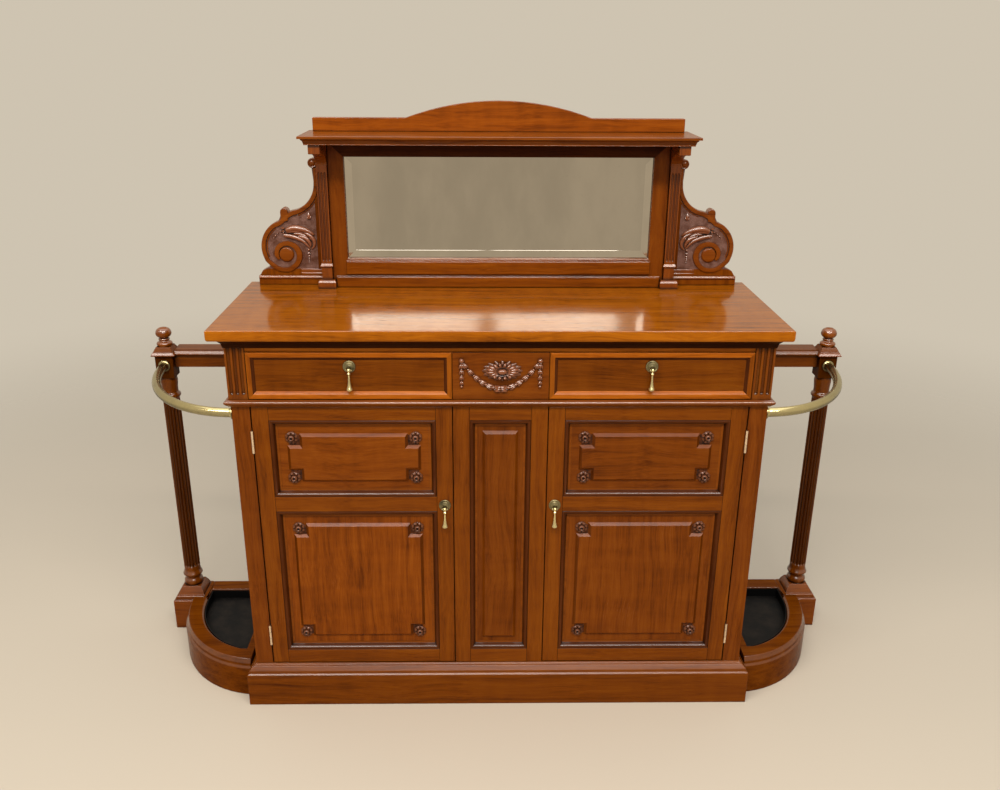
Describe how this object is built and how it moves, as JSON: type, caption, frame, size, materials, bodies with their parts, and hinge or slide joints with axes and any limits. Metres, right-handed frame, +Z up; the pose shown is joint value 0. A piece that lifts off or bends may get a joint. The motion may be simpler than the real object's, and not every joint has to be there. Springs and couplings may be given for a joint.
{
  "type": "hall cupboard",
  "caption": "Walnut hall cupboard with a mirror back, frieze drawers over panelled doors, and a brass-railed stick stand with a drip tray at each side.",
  "frame": {"origin": "on the floor under the middle of the top board, which is the middle of the bounding box's foot", "axes": "+X to the right of someone facing the cupboard, +Y from the front to the wall, +Z up"},
  "size_m": [1.692, 0.411, 1.3333],
  "materials": {
    "polished_walnut": "french polish",
    "figured_walnut": "french polish",
    "drawer_lining": "unpolished softwood",
    "aged_brass": "aged brass",
    "mirror_glass": "bevelled silvered glass",
    "black_iron": "black painted iron"
  },
  "bodies": {
    "cupboard": {"top_board": "figured_walnut", "top_moulding": "polished_walnut", "back_panel": "drawer_lining", "bottom_board": "drawer_lining", "inner_shelf": "drawer_lining", "waist_board": "polished_walnut", "frieze_panel": "figured_walnut", "drawer_divider": "drawer_lining", "centre_frame": "polished_walnut", "centre_panel": "figured_walnut", "plinth": "polished_walnut", "mirror_frame": "polished_walnut", "mirror_glass": "mirror_glass", "mirror_backboard": "drawer_lining", "cornice_shelf": "polished_walnut", "gallery_board": "figured_walnut", "left_side_panel": "polished_walnut", "left_front_stile": "polished_walnut", "left_pilaster": "polished_walnut", "left_scroll_bracket": "polished_walnut", "left_stand_post": "polished_walnut", "left_stand_top_rail": "polished_walnut", "left_brass_rail": "aged_brass", "left_stand_kerb": "polished_walnut", "left_upper_hinge_fixed_leaf": "aged_brass", "left_lower_hinge_fixed_leaf": "aged_brass", "right_side_panel": "polished_walnut", "right_front_stile": "polished_walnut", "right_pilaster": "polished_walnut", "right_scroll_bracket": "polished_walnut", "right_stand_post": "polished_walnut", "right_stand_top_rail": "polished_walnut", "right_brass_rail": "aged_brass", "right_stand_kerb": "polished_walnut", "right_upper_hinge_fixed_leaf": "aged_brass", "right_lower_hinge_fixed_leaf": "aged_brass"},
    "left_door": {"left_door_frame": "polished_walnut", "left_door_upper_panel": "figured_walnut", "left_door_lower_panel": "figured_walnut", "left_upper_hinge_door_leaf": "aged_brass", "left_lower_hinge_door_leaf": "aged_brass", "left_door_pull_plate": "aged_brass"},
    "left_drawer": {"left_drawer_front": "figured_walnut", "left_drawer_box": "drawer_lining", "left_drawer_pull_plate": "aged_brass"},
    "left_door_drop": {"left_door_pull_drop": "aged_brass"},
    "left_drawer_drop": {"left_drawer_pull_drop": "aged_brass"},
    "left_tray": {"left_drip_tray": "black_iron"},
    "right_door": {"right_door_frame": "polished_walnut", "right_door_upper_panel": "figured_walnut", "right_door_lower_panel": "figured_walnut", "right_upper_hinge_door_leaf": "aged_brass", "right_lower_hinge_door_leaf": "aged_brass", "right_door_pull_plate": "aged_brass"},
    "right_drawer": {"right_drawer_front": "figured_walnut", "right_drawer_box": "drawer_lining", "right_drawer_pull_plate": "aged_brass"},
    "right_door_drop": {"right_door_pull_drop": "aged_brass"},
    "right_drawer_drop": {"right_drawer_pull_drop": "aged_brass"},
    "right_tray": {"right_drip_tray": "black_iron"}
  },
  "joints": [
    {"name": "left_door_hinge", "type": "hinge", "parent": "cupboard", "child": "left_door", "pos_m": [-0.5228, -0.1786, 0.1046], "axis": [0, 0, -1], "range_deg": [0, 170]},
    {"name": "left_drawer_slide", "type": "slide", "parent": "cupboard", "child": "left_drawer", "axis": [0, -1, 0], "range_m": [0, 0.22]},
    {"name": "left_door_pull_swing", "type": "hinge", "parent": "left_door", "child": "left_door_drop", "pos_m": [-0.1196, -0.186, 0.506], "axis": [-1, 0, 0], "range_deg": [0, 100]},
    {"name": "left_drawer_pull_swing", "type": "hinge", "parent": "left_drawer", "child": "left_drawer_drop", "pos_m": [-0.312, -0.186, 0.82495], "axis": [-1, 0, 0], "range_deg": [0, 100]},
    {"name": "left_tray_lift", "type": "slide", "parent": "cupboard", "child": "left_tray", "axis": [0, 0, 1], "range_m": [0, 0.12]},
    {"name": "right_door_hinge", "type": "hinge", "parent": "cupboard", "child": "right_door", "pos_m": [0.5228, -0.1786, 0.1046], "axis": [0, 0, 1], "range_deg": [0, 170]},
    {"name": "right_drawer_slide", "type": "slide", "parent": "cupboard", "child": "right_drawer", "axis": [0, -1, 0], "range_m": [0, 0.22]},
    {"name": "right_door_pull_swing", "type": "hinge", "parent": "right_door", "child": "right_door_drop", "pos_m": [0.1196, -0.186, 0.506], "axis": [-1, 0, 0], "range_deg": [0, 100]},
    {"name": "right_drawer_pull_swing", "type": "hinge", "parent": "right_drawer", "child": "right_drawer_drop", "pos_m": [0.312, -0.186, 0.82495], "axis": [-1, 0, 0], "range_deg": [0, 100]},
    {"name": "right_tray_lift", "type": "slide", "parent": "cupboard", "child": "right_tray", "axis": [0, 0, 1], "range_m": [0, 0.12]}
  ]
}
